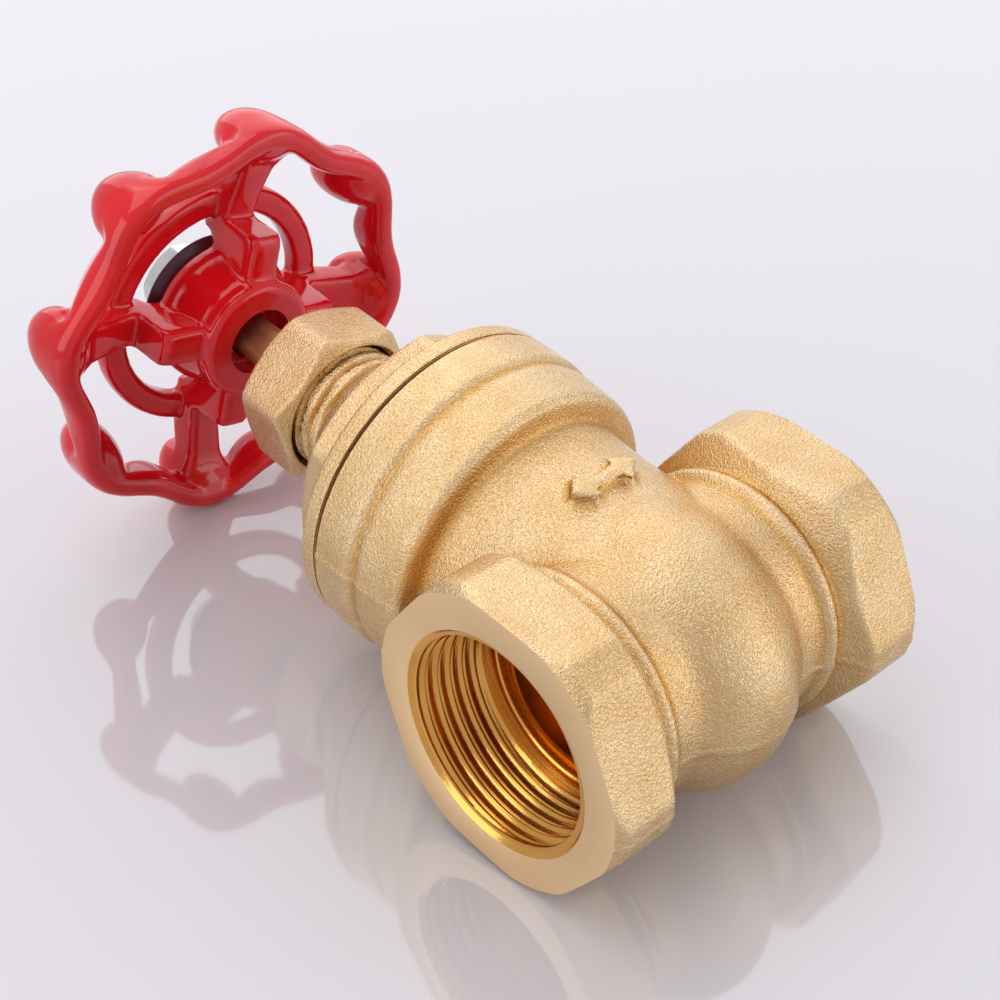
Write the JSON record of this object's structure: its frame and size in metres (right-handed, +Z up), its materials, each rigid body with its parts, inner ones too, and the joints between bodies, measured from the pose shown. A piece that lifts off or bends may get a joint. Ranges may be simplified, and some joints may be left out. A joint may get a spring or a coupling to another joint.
{
  "type": "gate valve",
  "caption": "Brass gate valve lying on its side, with threaded hexagon ports, a screwed bonnet, a packing nut and a lobed red handwheel that raises a wedge.",
  "frame": {"origin": "centre of the bounding box at floor level, under the lying valve", "axes": "+X along the flow towards the far port, +Y towards the handwheel end, +Z up; the stem leans 7.95 degrees up from +Y"},
  "size_m": [0.0566, 0.107, 0.0561],
  "materials": {
    "cast_brass": "sand-blasted forged brass",
    "bar_brass": "turned",
    "grey_fibre": "pressed fibre",
    "white_seal": "waxy",
    "red_enamel": "thick gloss enamel on a casting",
    "plate_steel": "pressed plate, dark back",
    "zinc_steel": "bright zinc"
  },
  "bodies": {
    "valve_body": {"body": "cast_brass", "bonnet": "cast_brass", "bonnet_gasket": "grey_fibre", "thrust_washer": "bar_brass", "packing_ring_lower": "white_seal", "packing_ring_middle": "white_seal", "packing_ring_upper": "white_seal", "gland_follower": "bar_brass", "packing_nut": "cast_brass"},
    "stem_and_wheel": {"stem": "bar_brass", "handwheel": "red_enamel", "name_plate": "plate_steel", "handwheel_nut": "zinc_steel"},
    "wedge": {"wedge": "cast_brass"}
  },
  "joints": [
    {"name": "stem_spin", "type": "hinge", "parent": "valve_body", "child": "stem_and_wheel", "pos_m": [0, 0.04007, 0.02815], "axis": [0, 0.9904, 0.1383], "range_deg": [0, 1800]},
    {"name": "wedge_slide", "type": "slide", "parent": "valve_body", "child": "wedge", "axis": [0, 0.9904, 0.1383], "range_m": [0, 0.02]}
  ],
  "couplings": [
    {"joint": "wedge_slide", "follows": "stem_spin", "m_per_rad": 0.0006366}
  ]
}
